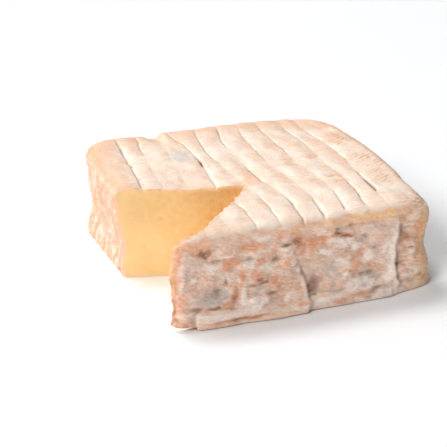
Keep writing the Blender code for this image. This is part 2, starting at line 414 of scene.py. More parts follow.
def crease_depth(x, y):
    """How deep in an open crease a point of the top lies, 0 to about 1."""
    lines = ridge_lines(y)
    depth = 0
    for valley, start, end, strength in CREASES:
        away = abs(x - lines[valley + 1])
        if away < CREASE_REACH and start - CREASE_TAPER < y < end + CREASE_TAPER:
            ends = rise(y, start - CREASE_TAPER, start + CREASE_TAPER)
            ends *= rise(-y, -end - CREASE_TAPER, -end + CREASE_TAPER)
            broken = 0.8 + 0.35 * lumps(0, y, valley * 9, 4, 4.4)
            width = 0.3 + 0.2 * strength
            depth = max(depth, strength * ends * broken * math.exp(-((away / width) ** 2)))
    return depth


# Where the top is finely wrinkled across its ridges: x, y, half width, half length, strength,
# the distance from wrinkle to wrinkle, and how much they climb to the right
WRINKLED = [
    (45, -5, 8, 9, 1.0, 2.1, 0.45),
    (46, -24, 7, 9, 1.2, 2.0, 0.5),
    (47, -46, 9, 9, 1.4, 1.8, 0.2),
    (45, 19, 7, 9, 0.9, 1.8, 0.35),
    (45, 38, 6, 8, 0.6, 1.8, 0.3),
    (26, -19, 3.5, 5, 1.4, 1.9, 0.15),
    (26, 4, 4, 3, 1.0, 1.7, 0.1),
    (16, 2, 4, 3, 0.9, 1.8, 0.1),
    (16, -16, 3, 4, 0.7, 1.9, 0.1),
    (7, -8, 3, 5, 0.6, 1.8, 0.1),
    (13, -41, 4, 6, 0.8, 1.8, 0.1),
    (21, -44, 4, 6, 0.9, 1.8, 0.1),
    (28, -42, 3, 6, 0.7, 1.7, 0.1),
    (-27, -44, 7, 6, 0.7, 1.7, 0.15),
    (-36, -47, 4, 4, 0.5, 1.6, 0.2),
    (-13, -45, 5, 5, 0.4, 1.7, 0.1),
    (-50, 22, 6, 22, 1.4, 1.7, -0.3),
    (-48, 42, 6, 8, 1.2, 1.7, -0.2),
    (-51, -4, 6, 8, 1.2, 1.8, -0.5),
    (-38, 12, 4, 12, 0.5, 1.8, 0.1),
]
FAINTEST_WRINKLE = 0.02


def wrinkles(x, y):
    """Fine wrinkles that run across the ridges: their height, -1 to 1, and how wrinkled the place is."""
    height = wrinkled = 0
    for *spot, pitch, climb in WRINKLED:
        here = patch(x, y, spot, sharpness=1.5)
        if here > FAINTEST_WRINKLE:
            bend = 0.35 * lumps(x, y, 0, 6, 6.1) + 0.2 * lumps(x, y, 0, 2.5, 8.8)
            ragged = 0.7 + 0.6 * lumps(x, y, 0, 3, 2.9)
            height += here * max(ragged, 0) * math.sin(2 * math.pi * ((y - climb * x) / pitch + bend))
            wrinkled += here
    return height, min(wrinkled, 1)


# Where the top has sunk, at three corners, along the notch and in the first valley: x, y, half
# width, half length, depth
SUNKEN = [
    (38, 53, 13, 17, 1.2),
    (-30, -8, 13, 15, 1.4),
    (-45, -9, 0.9, 6, 1.6),
    (-52, -52, 7, 10, 1.8),
    (56, -56, 14, 26, 2.0),
]


def top_relief(x, y):
    """Height of the top face against the nominal height: ridges, creases, wrinkles and low places."""
    ridge, share = ridge_place(x, y)
    height = 0.1 - (0.43 + 0.17 * rise(-y, 15, 30)) * valley_drop(x, y)
    if 0 < ridge < len(VALLEYS) - 1:
        height += 0.15 * (math.sin(math.pi * share) - 1)
    height += 0.5 * noise.noise(Vector((x, y, 0)) / 24)
    # The back edge dips between two ridges
    height -= 2.0 * rise(x, -29.5, -22.5) * rise(-x, 18.2, 20.6) * hill(y, 50, 8)
    for spot_x, spot_y, width, length, depth in SUNKEN:
        height -= depth * hill(x, spot_x, width) * hill(y, spot_y, length)
    height -= 0.6 * rise(x, 36, 54)
    height -= 0.85 * crease_depth(x, y)
    height += 0.28 * wrinkles(x, y)[0]
    height += 0.17 * lumps(x, y * 0.6, 0, 4.5, 9.3) + 0.05 * lumps(x, y, 0, 1.8, 4.1)
    return height


# The swell of the sides dies away over the top and the foot, and ends this far in
SWELL_FADE = 7
SWELL_END = 40


def cheese_point(corner):
    """Moves a point of the plain square box to its place on the finished cheese."""
    even = ROW_EVENNESS * corner.y / HALF
    plan_y = HALF * (even + (1 - ROW_EVENNESS) * math.sin(math.pi * corner.y / SIDE))
    lines = ridge_lines(plan_y)
    place = (corner.x / SIDE + 0.5) * (len(lines) - 1)
    ridge = min(int(place + 1e-6), len(lines) - 2)
    share = place - ridge
    share -= COLUMN_CROWDING * math.sin(2 * math.pi * share) / (2 * math.pi)
    plan_x = lines[ridge] + share * (lines[ridge + 1] - lines[ridge])
    reach = max(abs(plan_x), abs(plan_y))
    inset, gap = round_edge(HALF - reach, HEIGHT - corner.z, TOP_EDGE_RADIUS)
    inset, z = round_edge(inset, HEIGHT - gap, BOTTOM_EDGE_RADIUS)
    scale = (HALF - inset) / reach if reach else 1
    x, y = round_plan_corner(plan_x * scale, plan_y * scale, HALF - inset, inset)
    facing = outward(x, y)
    swell = side_swell(x, y, z, facing) * math.exp(-inset / SWELL_FADE) if inset < SWELL_END else 0
    top_share = rise(z, HEIGHT - TOP_EDGE_RADIUS, HEIGHT - 0.3 * TOP_EDGE_RADIUS)
    relief = top_relief(x, y) * top_share if top_share else 0
    return Vector((x + facing.x * swell, y + facing.y * swell, z + relief))


def lower_rim(mesh, rim, scale, drop):
    """Extrudes the open rim downwards, or inwards where scale is under 1, and gives the new rim."""
    made = bmesh.ops.extrude_edge_only(mesh, edges=rim)["geom"]
    lower = [part for part in made if isinstance(part, bmesh.types.BMVert)]
    bmesh.ops.scale(mesh, verts=lower, vec=(scale, scale, 1))
    bmesh.ops.translate(mesh, verts=lower, vec=(0, 0, -drop))
    return [part for part in made if isinstance(part, bmesh.types.BMEdge)]


def whole_cheese():
    """The uncut cheese: a grid for the top, walls extruded down from its rim, and a flat foot."""
    mesh = bmesh.new()
    columns = COLUMNS_PER_RIDGE * (len(VALLEYS) + 1)
    bmesh.ops.create_grid(mesh, x_segments=columns, y_segments=ROWS, size=HALF)
    bmesh.ops.translate(mesh, verts=mesh.verts, vec=(0, 0, HEIGHT))
    rim = [edge for edge in mesh.edges if edge.is_boundary]
    level = HEIGHT
    for row in range(1, WALL_ROWS + 1):
        even = HEIGHT * (1 - row / WALL_ROWS)
        eased = HEIGHT * (1 + math.cos(math.pi * row / WALL_ROWS)) / 2
        below = WALL_EVENNESS * even + (1 - WALL_EVENNESS) * eased
        rim = lower_rim(mesh, rim, 1, level - below)
        level = below
    rim = lower_rim(mesh, rim, 1 - 2 * BOTTOM_EDGE_RADIUS / SIDE, 0)
    bmesh.ops.contextual_create(mesh, geom=rim)
    bmesh.ops.recalc_face_normals(mesh, faces=mesh.faces)
    for point in mesh.verts:
        point.co = cheese_point(point.co)
    return mesh


def link_object(name, mesh):
    """Makes a bmesh an object of the scene."""
    data = bpy.data.meshes.new(name)
    mesh.to_mesh(data)
    mesh.free()
    thing = bpy.data.objects.new(name, data)
    bpy.context.collection.objects.link(thing)
    return thing


# The knife's cut
# A straight blade went in at the left side and again at the front left corner, and the two cuts
# met near the middle. Near the corner it ran along the inside of the front rind, which still stands.

KNIFE_PATH = [
    (-64, 2.4), (-9, -14), (-14.5, -22.5), (-26, -34.2), (-37.5, -46.2), (-41.5, -49.2),
    (-46, -49.5), (-64, -46.5),
]
KNIFE_OVERRUN = 6


def knife_path():
    """An upright prism along the knife's path; the paste's material is put on its faces afterwards."""
    mesh = bmesh.new()
    floor = mesh.faces.new([mesh.verts.new((x, y, -KNIFE_OVERRUN)) for x, y in KNIFE_PATH])
    raised = bmesh.ops.extrude_face_region(mesh, geom=[floor])["geom"]
    upper = [part for part in raised if isinstance(part, bmesh.types.BMVert)]
    bmesh.ops.translate(mesh, verts=upper, vec=(0, 0, HEIGHT + 2 * KNIFE_OVERRUN))
    bmesh.ops.recalc_face_normals(mesh, faces=mesh.faces)
    return link_object("knife_path", mesh)


rind_material = bpy.data.materials.new("rind")
paste_material = bpy.data.materials.new("paste")

cheese = link_object("cut_cheese", whole_cheese())
cheese.data.materials.append(rind_material)
knife = knife_path()
knife.data.materials.append(paste_material)
cut = cheese.modifiers.new("notch", "BOOLEAN")
cut.operation = "DIFFERENCE"
cut.solver = "EXACT"
cut.material_mode = "TRANSFER"
cut.object = knife
depsgraph = bpy.context.evaluated_depsgraph_get()
cut_data = bpy.data.meshes.new_from_object(cheese.evaluated_get(depsgraph))
cheese.modifiers.clear()
cheese.data = cut_data
bpy.data.objects.remove(knife)

# The cut faces get a fine grid of their own, and their edges stay sharp
PASTE_SLOT = 1
PASTE_GRID = 0.8

mesh = bmesh.new()
mesh.from_mesh(cheese.data)
for step in range(1, int(SIDE / PASTE_GRID)):
    for normal in (Vector((1, 0, 0)), Vector((0, 0, 1))):
        place = normal * (step * PASTE_GRID - (HALF if normal.x else 0))
        if normal.z and place.z > HEIGHT + 1:
            continue
        faces = [face for face in mesh.faces if face.material_index == PASTE_SLOT]
        edges = list(dict.fromkeys(edge for face in faces for edge in face.edges))
        points = list(dict.fromkeys(point for edge in edges for point in edge.verts))
        bmesh.ops.bisect_plane(mesh, geom=points + edges + faces, plane_co=place, plane_no=normal)
for edge in mesh.edges:
    edge.smooth = len({face.material_index for face in edge.link_faces}) < 2

rim_points = []
for point in mesh.verts:
    if len({face.material_index for face in point.link_faces}) > 1:
        rim_points.append(point)
rim_tree = kdtree.KDTree(len(rim_points))
for index, point in enumerate(rim_points):
    rim_tree.insert(point.co, index)
rim_tree.balance()

# The blade tore the top rind a little: how far down and how far back, how quickly it dies away,
# and how far the edge moved
TORN_DOWN = 6
TORN_REACH = 3
TORN_FADE = 1.1
TORN_SHIFT = 0.45

for point in mesh.verts:
    x, y, z = point.co
    away = rim_tree.find(point.co)[2] if z > HEIGHT - TORN_DOWN else TORN_REACH
    if away < TORN_REACH:
        near_top = rise(z, HEIGHT - TORN_DOWN, HEIGHT - TORN_DOWN / 2)
        torn = TORN_SHIFT * near_top * math.exp(-((away / TORN_FADE) ** 2))
        point.co += Vector((lumps(x, y, z, 1.7, 4.9), lumps(x, y, z, 1.7, 8.2), 0)) * torn

# Small holes that the curd left in the paste: x along the cut, z, half width, half height, depth
EYES = [
    (-38, 24, 0.9, 0.5, 0.6), (-27.5, 17, 0.6, 0.4, 0.5), (-31, 29, 0.5, 0.4, 0.4),
    (-20, 22, 0.7, 0.4, 0.5), (-44, 12, 0.7, 0.6, 0.6), (-35, 8, 0.6, 0.4, 0.4),
    (-16.5, 28, 0.5, 0.3, 0.4), (-49, 27, 0.5, 0.5, 0.4),
]
# The cut faces stay flat this close to their edges, and are fully uneven from this far in
TRUE_EDGE = 0.3
UNEVEN_FROM = 1.6

depths = {}
for point in mesh.verts:
    if all(face.material_index == PASTE_SLOT for face in point.link_faces):
        depths[point.index] = rim_tree.find(point.co)[2]
for point in mesh.verts:
    away = depths.get(point.index, 0)
    if away > TRUE_EDGE:
        x, y, z = point.co
        swell = 0.18 * lumps(x, y, z, 9, 3.3) + 0.07 * lumps(x, y, z * 2.5, 2.4, 1.2)
        swell -= patches(x, z, EYES, sharpness=2)
        point.co += point.normal * swell * rise(away, TRUE_EDGE, UNEVEN_FROM)
mesh.verts.index_update()

# Marks on the rind
# Each point of the mesh keeps how tan, pale, grey, brown or amber the rind is there. Part of this
# is the rind's own colour from the washing and the rack; the rest is painted light and shade:
# painted shade in creases, seams, grooves, recesses and on the side of each ridge that turns from
# the lamps, and painted highlights and painted light on crests, edges and faces the lamps leave
# dark. The material mixes its colours from these marks.

# Patches of the front: x, z, half width, half height, strength
FRONT_ORANGE = [
    (-19.5, 18.2, 3.5, 2.2, 0.45), (-4, 28.5, 3, 3, 0.6), (3.5, 27.4, 4.5, 1.8, 0.9),
    (18.5, 17, 2, 3.5, 0.6), (-47.5, 13.5, 1.5, 2.5, 0.2), (-22, 28.8, 4, 1.6, 0.7),
    (-43, 30.5, 4, 2, 0.6), (6, 9.5, 4, 1.5, 0.5), (-47.5, 33.5, 1.6, 1.0, 0.8),
    (-43.5, 30.2, 1.6, 1.0, 0.8), (-41.5, 31.5, 1.2, 1.8, 0.7), (-38.7, 29.6, 1.4, 1.3, 0.8),
    (-30.0, 24.4, 3.2, 1.6, 1.4), (-31.5, 22.6, 1.6, 1.2, 0.7), (-26.0, 18, 0.9, 4.2, 1.1),
    (-28.3, 13, 1.5, 3.2, 0.7), (-30.5, 8.8, 2.6, 1.8, 0.7), (-18.7, 23.4, 1.7, 2.2, 0.8),
    (-22.7, 30.4, 3.2, 0.8, 1.1), (-19, 29.3, 2, 0.9, 0.7), (-13.8, 26.5, 1.0, 1.6, 0.9),
    (-8.5, 20.8, 1.4, 1.4, 1.4), (-13, 14.5, 1.5, 2.4, 0.8), (-20, 17.8, 2.6, 2, 0.3),
    (-11.5, 31.2, 1.8, 1, 0.9), (-5, 31.5, 1.6, 1.6, 0.8), (-9, 4.6, 1.0, 0.6, 0.8),
    (-2.5, 3.6, 2.6, 0.8, 1.2), (-3.2, 23.5, 1.2, 1.1, 0.8), (-48, 4, 3, 1.2, 0.2),
    (-34, 2, 7, 0.9, 0.6), (-20, 2.2, 6, 0.8, 0.9), (4, 28.2, 4.4, 0.7, 1.4),
    (3.6, 26.8, 2.2, 1.2, 1.2), (1, 25, 2, 3, 0.5), (12.5, 28.5, 3.6, 0.6, 0.7),
    (20.2, 20.4, 2.2, 2.6, 0.55), (17.5, 13.5, 1.8, 2.4, 0.5), (24.3, 14.9, 0.8, 0.8, 1.2),
    (13.5, 9.2, 2.6, 1.6, 0.6), (13.5, 2.2, 3, 0.8, 1.0), (21, 3.6, 4.4, 1.2, 0.7),
    (38.8, 23, 2.2, 2.2, 0.7), (44, 26, 1.8, 2.6, 1.4), (45.5, 29.5, 1.2, 2.6, 0.9),
    (44.2, 18, 1.2, 4.5, 1.0), (37.5, 31, 1.5, 1, 0.6), (44, 31.5, 4, 1.8, 0.6),
]
# Pale patches of the front: pale bloom and scabs, painted highlights along the crest of the fold, and
# painted light on the right foot, which turns from the lamps.
FRONT_PALE_AND_LIGHT = [
    (-49.5, 11, 1.6, 5, 0.3), (-49, 24, 1.4, 4, 0.4), (-43, 12.5, 3.5, 1.6, 0.4),
    (26, 0.9, 6, 0.5, 0.9), (-33, 11, 1.6, 1, 0.4), (-24.7, 22.9, 2.6, 1.1, 1.3),
    (-22.5, 21.6, 1.5, 1.0, 0.7), (-24.9, 11.5, 1.1, 4, 0.9), (-20.5, 7.8, 4.5, 1.8, 1.0),
    (-17.8, 7.4, 2, 1.2, 0.8), (-22, 4.8, 4, 1.2, 0.7), (-29, 4.4, 2.8, 1.1, 1.0),
    (-18.5, 31.8, 3, 0.9, 0.9), (-22, 33.4, 2, 1, 0.6), (-31, 26.9, 2, 0.7, 0.7),
    (-16, 20.6, 2.6, 1.6, 0.7), (-9.5, 26.4, 3, 1, 0.9), (-6.3, 20.6, 0.8, 1.6, 0.8),
    (-3.8, 18, 0.9, 2.5, 0.8), (-2, 12.6, 0.9, 2.5, 0.8), (-0.6, 8, 1, 2, 0.7),
    (-7, 7.5, 3, 2.5, 0.6), (-37.5, 22.8, 2.2, 2.2, 0.6), (-39.5, 24, 2, 1, 0.5),
    (-44.3, 19.8, 1.8, 1.4, 0.9), (-36, 10.3, 3.5, 1.8, 0.6), (-42, 6.2, 8, 0.8, 1.0),
    (-33, 5.2, 4, 0.7, 0.8), (-32.5, 14.6, 1.2, 0.7, 0.8), (-48.3, 18.5, 0.9, 2, 0.7),
    (12.5, 26.6, 3.5, 1.0, 0.9), (13, 24.8, 3.5, 1.8, 0.6), (6.3, 23, 2.2, 1, 1.0),
    (12, 18, 3, 1.4, 0.5), (15, 16, 14, 8, 0.15), (18.6, 23.3, 1.7, 1.2, 1.2),
    (23.5, 17.8, 1.6, 0.9, 1.0), (21.5, 17, 1.2, 1.2, 0.7), (24.8, 20.5, 1.4, 0.9, 0.7),
    (20.5, 8.2, 4.8, 1.9, 1.8), (24.8, 7.2, 1.6, 1, 0.9), (7, 4.4, 3.2, 1.3, 1.2),
    (12.5, 4.8, 2, 0.8, 0.9), (31.5, 20, 2.6, 3.6, 0.8), (32.5, 13, 2.2, 4, 0.6),
    (32, 8, 2.6, 2, 0.6), (42.3, 17.5, 2.4, 0.8, 1.1), (40, 7, 2.4, 1.3, 0.9), (45, 9, 2, 3, 0.6),
    (42, 4, 5, 2.2, 1.5), (47, 6, 4, 4, 1.6), (33, 2.4, 5, 1.2, 0.8), (3.3, 14.4, 0.8, 0.7, 0.7),
    (9, 14.2, 0.8, 0.7, 0.7), (14.5, 12.7, 2.2, 0.8, 0.5),
]
# Grey patches of the front, among them painted shade in hollows and pits, above a raised scab and along
# a slanting band high on the left.
FRONT_GREY_AND_SHADE = [
    (-33.9, 12.6, 2.6, 1.7, 1.3), (-39, 10.8, 4.5, 2.4, 0.55), (-38, 14, 7, 5, 0.35),
    (-23.5, 24.8, 2.2, 0.9, 0.9), (-11.5, 23.4, 1.8, 0.7, 1.0), (-19, 13, 2.6, 1.2, 0.9),
    (-21, 10.5, 3, 1.4, 0.6), (-46.5, 22.5, 1.5, 3.5, 0.6), (-47.5, 16.5, 1.2, 1.6, 0.7),
    (-36, 25.8, 3.5, 0.9, 0.8), (-29, 9, 1, 2.5, 0.5), (-13.5, 8, 2.5, 1.2, 0.7),
    (-16, 11, 2, 1, 0.6), (6.5, 6.6, 3.2, 0.8, 1.2), (12.5, 6.6, 2, 0.8, 0.8),
    (20.5, 24.8, 1.4, 0.7, 0.7), (21.8, 26.6, 1.1, 0.9, 0.9), (26.3, 21.4, 1.8, 1, 0.8),
    (22.5, 11.6, 4.6, 1.1, 1.1), (26.5, 10, 2, 0.8, 0.8), (5, 13, 7, 5, 0.25), (8, 17, 8, 3, 0.2),
    (12, 31, 2, 1, 0.6), (38, 26.6, 1.3, 1.8, 0.8), (33, 15, 1.6, 1.6, 0.5),
]
# Brown patches of the front: dark stains, and painted shade beside the fold, in slits and pits, above
# the lip and in the undercut near its foot.
FRONT_BROWN_AND_SHADE = [
    (2.8, 12, 3, 3.5, 0.45), (-48, 9.5, 3, 0.9, 0.6), (-42, 8.6, 3, 0.8, 0.6),
    (-36.5, 7.7, 2, 0.8, 0.6), (-31.5, 7.2, 2, 0.6, 0.4), (-20, 16.3, 3, 1, 0.6),
    (-4, 27.5, 2.6, 3, 0.45), (11, 29.3, 1.6, 0.5, 1.1), (14.2, 28.1, 1.6, 0.5, 1.2),
    (16, 27.3, 1.2, 0.5, 0.8), (27, 4, 6, 1.2, 0.35), (18, 31.5, 7, 0.7, 0.4),
    (-43, 29.5, 3, 1.2, 0.4), (-40.0, 28.5, 0.9, 0.8, 1.0), (-39.2, 29.3, 1.4, 1.0, 0.8),
    (-41.5, 30.5, 0.6, 1.4, 0.6), (-36, 25.9, 3.4, 0.6, 0.6), (-31, 23.2, 0.8, 0.6, 0.25),
    (-32.3, 25.3, 0.8, 0.5, 0.6), (-32, 17.3, 0.7, 2.2, 0.8), (-35, 14.5, 1.4, 0.6, 0.9),
    (-35.7, 7.7, 1.5, 0.7, 1.1), (-28.3, 11.5, 1.4, 2.6, 0.8), (-23.3, 24.9, 2, 0.5, 0.6),
    (-21.8, 14.3, 2, 0.5, 1.0), (-17.2, 14.7, 1.8, 0.6, 1.3), (-19, 16.2, 1, 0.5, 0.6),
    (-14.8, 10.2, 2.5, 0.9, 0.9), (-9.3, 28, 1.9, 0.5, 1.3), (-13, 23.3, 2.2, 0.5, 0.7),
    (-20, 2.0, 5, 0.5, 0.8), (-27, 2.2, 3, 0.5, 0.4), (-34, 2.2, 5, 0.6, 0.5),
    (-5, 29, 1.5, 1, 0.6), (-6, 24, 1, 1, 0.5), (-1.7, 14, 0.9, 2.4, 0.5), (-3, 18, 0.7, 1.6, 0.4),
    (0.2, 10, 1.2, 2.6, 0.45), (1.6, 9.5, 1.8, 3, 0.5), (4.4, 28.2, 4, 0.4, 0.7),
    (10.5, 30.8, 1.2, 0.8, 0.7), (21.8, 26.5, 0.8, 0.6, 0.6), (26.2, 21.2, 1.1, 0.6, 0.6),
    (20.8, 11.7, 2, 0.6, 0.5), (24.6, 12, 1.2, 1.0, 0.7), (9.5, 18.3, 2, 0.4, 0.6),
    (28.8, 5.4, 2.6, 0.5, 0.8), (24, 2.2, 2.4, 0.5, 0.6), (35.4, 13.3, 0.6, 0.5, 1.8),
    (36.6, 26.5, 0.7, 2.6, 0.5), (40.2, 18.9, 2.4, 0.4, 0.9), (38.3, 24, 1.6, 1.2, 0.6),
    (30, 25.5, 2, 0.5, 0.5),
]

# Patches of the top: x, y, half width, half length, strength
TOP_ORANGE = [
    (-9, 46, 3, 4, 1.0), (-15.5, 39, 1.2, 3, 0.7), (-1.9, 47.5, 2.6, 3, 0.7), (7, 46, 2, 3, 0.5),
    (16, 46, 4, 3, 0.6), (25, 46, 5, 4, 0.8), (33, 44, 4, 5, 0.8), (36, 34, 3, 3, 0.5),
    (46, 36, 4, 5, 0.7), (40, 42, 3, 4, 0.6), (-33.5, 45, 2.4, 4, 0.6), (-46, 44, 6, 6, 0.7),
    (-44, 26, 2.5, 9, 0.5), (-34.3, 30.2, 1.8, 2.4, 0.5), (-26.2, 26.3, 2.2, 2.5, 0.5),
    (-27.5, 12.7, 2.2, 3.6, 0.6), (-36.2, 13, 2.4, 5, 0.3), (-28, -2, 2.6, 7, 0.6),
    (-20, 1, 2, 7, 0.6), (-11, 3, 1.8, 7, 0.5), (-3.2, -4, 3, 7, 1.4), (-6.5, -12, 4.5, 3, 1.3),
    (8, 25, 2, 6, 0.6), (7.5, 12, 2, 6, 0.6), (6, -1, 3, 5, 0.5), (8, -13, 2, 5, 0.6),
    (7.5, -25, 2, 5, 0.6), (17, 22, 2.5, 8, 0.6), (16.5, 9, 2, 4, 0.6), (16, 4, 2.8, 1.1, 1.2),
    (15.5, -1.8, 3, 1.4, 1.4), (25, 20, 4, 6, 0.7), (26.5, 4, 3.8, 1.2, 1.1), (24, -6, 4, 4, 0.45),
    (26, -22.3, 2.2, 0.9, 1.2), (27, -17, 3.4, 1.2, 0.9), (17, -20, 2.5, 3, 0.5),
    (34.5, 18, 2.5, 8, 0.7), (36, 2, 2, 8, 0.7), (34, -9, 3, 5, 0.5), (46, 24, 4, 5, 0.6),
    (45, 15, 4, 2.5, 0.5), (46, -47, 5, 6, 0.3), (-33, -47, 6, 3, 0.4), (-9.9, -36, 1.6, 5, 0.5),
    (-1.5, -43, 1.6, 6, 0.4),
]
# The first pale patch, on the lowered front right corner, is painted light where that corner slopes away
# from the lamps.
TOP_PALE = [
    (47, -46, 6, 8, 0.4), (-38, 30, 2.5, 10, 0.5), (-25, 40, 2, 6, 0.5), (3.5, 35, 2.5, 10, 0.6),
    (12, 32, 1.5, 10, 0.5), (23, 42, 1, 5, 0.5), (2, 10, 1.5, 8, 0.5), (12, -10, 2, 5, 0.5),
    (22, -15, 1.5, 5, 0.5), (31, -24, 1, 4, 0.5), (42, 11, 4, 4, 0.7), (40, -35, 4, 6, 0.8),
    (2, -22, 1.5, 8, 0.6), (-6, -22, 1.6, 4, 0.6), (-24, -40, 2, 3, 0.6), (-17, 0, 1, 6, 0.5),
]
# Grey patches of the top; the long strip left of the first valley and the strip in the crease near the
# front right are painted shade.
TOP_GREY_AND_SHADE = [
    (-21, 25, 4.6, 6, 0.8), (-20.5, 19, 4, 4, 0.6), (-27, 20.5, 2.6, 2, 0.5), (-26, 7, 2, 3, 0.5),
    (33, 27, 2, 5, 0.6), (30, 13, 1.5, 3, 0.6), (28, 38, 1.6, 5, 0.6), (36, 37, 3, 3, 0.4),
    (-44.2, 17.3, 1.2, 14, 0.3), (35.6, -28, 1.3, 7, 0.6), (-25, -45, 2.5, 3, 0.6),
    (31.5, -28, 1.5, 3, 0.4), (-30.5, 40, 1.2, 4, 0.5),
]


def ridge_end(share, y):
    """How far a ridge's rounded end hangs over the front, this far across the ridge."""
    return 1.4 * (math.sin(math.pi * share) - 0.5) * rise(-y, 46, 52)


def top_marks(x, y, drift, drift_up, rimless):
    """The marks of the top: tan, pale, grey, brown and amber."""
    ridge, share = ridge_place(x, y)
    # The right part of each inner ridge, whose slope turns from the lamps, is painted tan as painted
    # shade; the outer ridges get a flat tan of their own.
    tan_and_ridge_shade = rise(share, 0.3, 1.0) * (0.45 + 0.5 * lumps(x * 0.7, y * 0.35, 0, 4, 1.7))
    if ridge == 0:
        tan_and_ridge_shade = 0.3
    elif ridge >= len(VALLEYS) - 1:
        tan_and_ridge_shade = 0.25
    wave, wrinkled = wrinkles(x, y)
    crease = min(crease_depth(x, y), 1.4)
    near_rim = min(HALF - abs(x), HALF - abs(y))
    rim_reach = 6 - 3.4 * rise(-y, 40, 48)
    at_rim = rise(-near_rim - 0.6 * ridge_end(share, y), -rim_reach, -0.25 * rim_reach)
    spot_x = x + drift
    spot_y = y + 1.6 * drift_up
    tan = 0.45 * max(tan_and_ridge_shade, 0) + patches(spot_x, spot_y, TOP_ORANGE)
    # Tan in the troughs of the wrinkles is partly the rind's own orange lines and partly painted shade.
    tan += 2.1 * max(-wave - 0.15, 0) + 0.1 * wrinkled
    # Towards the back the top is painted more tan: partly the rind's own tan, partly painted shade that
    # dims the back, which leans towards the lamps.
    tan += 0.55 * at_rim * rimless + 0.55 * rise(y, 26, 46)
    # The pale band on the left quarter of each ridge, whose slope faces the lamps, is a painted
    # highlight.
    pale = 0.5 * hill(share, 0.25, 0.2) * (0.5 + 0.6 * lumps(x, y * 0.4, 0, 5, 3.9))
    pale += patches(spot_x, spot_y, TOP_PALE)
    # Grey and brown in the open creases are painted shade.
    grey = patches(spot_x, spot_y, TOP_GREY_AND_SHADE) + 0.8 * min(crease, 1)
    brown = 0.45 * crease + 1.2 * max(crease - 0.8, 0)
    # Brown in the troughs of the wrinkles on the left ridge is painted shade.
    brown += 0.3 * rise(-x, 38, 44) * max(-wave - 0.3, 0)
    return tan, max(pale, 0), grey, brown, 0


def front_marks(x, z, rim):
    """The marks of the front, at a place on its flat: tan, pale, grey, brown and amber."""
    crease = crease_place(x, z)
    inside = rise(z, 3, 6) * rise(-z, -31, -28)
    # Right of the crease the rind is its own orange-brown, with painted shade of the recess, and bands
    # of painted light and shade for folds that the shape does not have.
    beyond = rise(crease, 0.5, 2.5) * rise(z, 4, 7) * rise(-z, -33, -28)
    painted_fold_shade = 0.5 + 0.5 * math.sin(2.9 * z + 2.5 * lumps(x, 0, z, 6, 4.4))
    groove = lip_top(x)
    lip = curve(x, LIP_REACH)
    left_edge = rise(-x, 49, 51.5)
    corner_foot = rise(-x, 42, 44) * rise(-z, -8, -6)
    tan = 1.2 * patches(x, z, FRONT_ORANGE)
    tan += 0.2 * beyond + 0.2 * left_edge * rise(z, 10, 15) + 0.25 * corner_foot
    pale = 1.2 * patches(x, z, FRONT_PALE_AND_LIGHT)
    # The thin pale line on the crease's edge is a painted highlight.
    pale += 1.3 * hill(crease, -0.7, 0.8) * inside + 0.5 * beyond * (1 - painted_fold_shade)
    pale += 0.5 * lip * rise(-z, -groove, -groove + 1) * rise(z, 1, 2.5)
    grey = 1.2 * patches(x, z, FRONT_GREY_AND_SHADE)
    # Grey right of the slanting fold is painted shade.
    grey += 0.4 * hill(fold_place(x, z), 1.8, 1.8) * rise(-z, -24, -18)
    brown = 1.2 * patches(x, z, FRONT_BROWN_AND_SHADE)
    # Brown just right of the crease is painted shadow of its step, and brown in the groove over the lip
    # is painted shade.
    brown += (0.35 * hill(crease, 0.6, 0.7) + 0.25 * hill(crease, 3, 2.5)) * inside
    brown += 0.2 * beyond * painted_fold_shade + 0.25 * lip * hill(z, groove + 0.9, 0.9)
    # Brown low on the left end is painted shadow, and brown on the foot of the left corner is painted
    # shade beneath it.
    brown += 0.9 * left_edge * rise(-z, -27, -22) + 0.6 * corner_foot
    # The second amber term, on the right end of the front, is painted light where it turns from the
    # lamps.
    amber = 0.55 * left_edge * rise(z, 13, 17) + 0.55 * rise(x, 43, 46) * rise(z, 4, 8)
    amber += 0.45 * patch(x, z, (-45, 4.3, 6, 1.3, 1))
    amber += rim * (0.6 + 0.5 * rise(x, 14, 22) * rise(-x, -36, -33)) + 0.3 * beyond
    # Amber on the right foot is painted light.
    amber += 0.6 * rise(x, 34, 42) * rise(-z, -9, -5)
    return tan, pale, grey, brown, amber


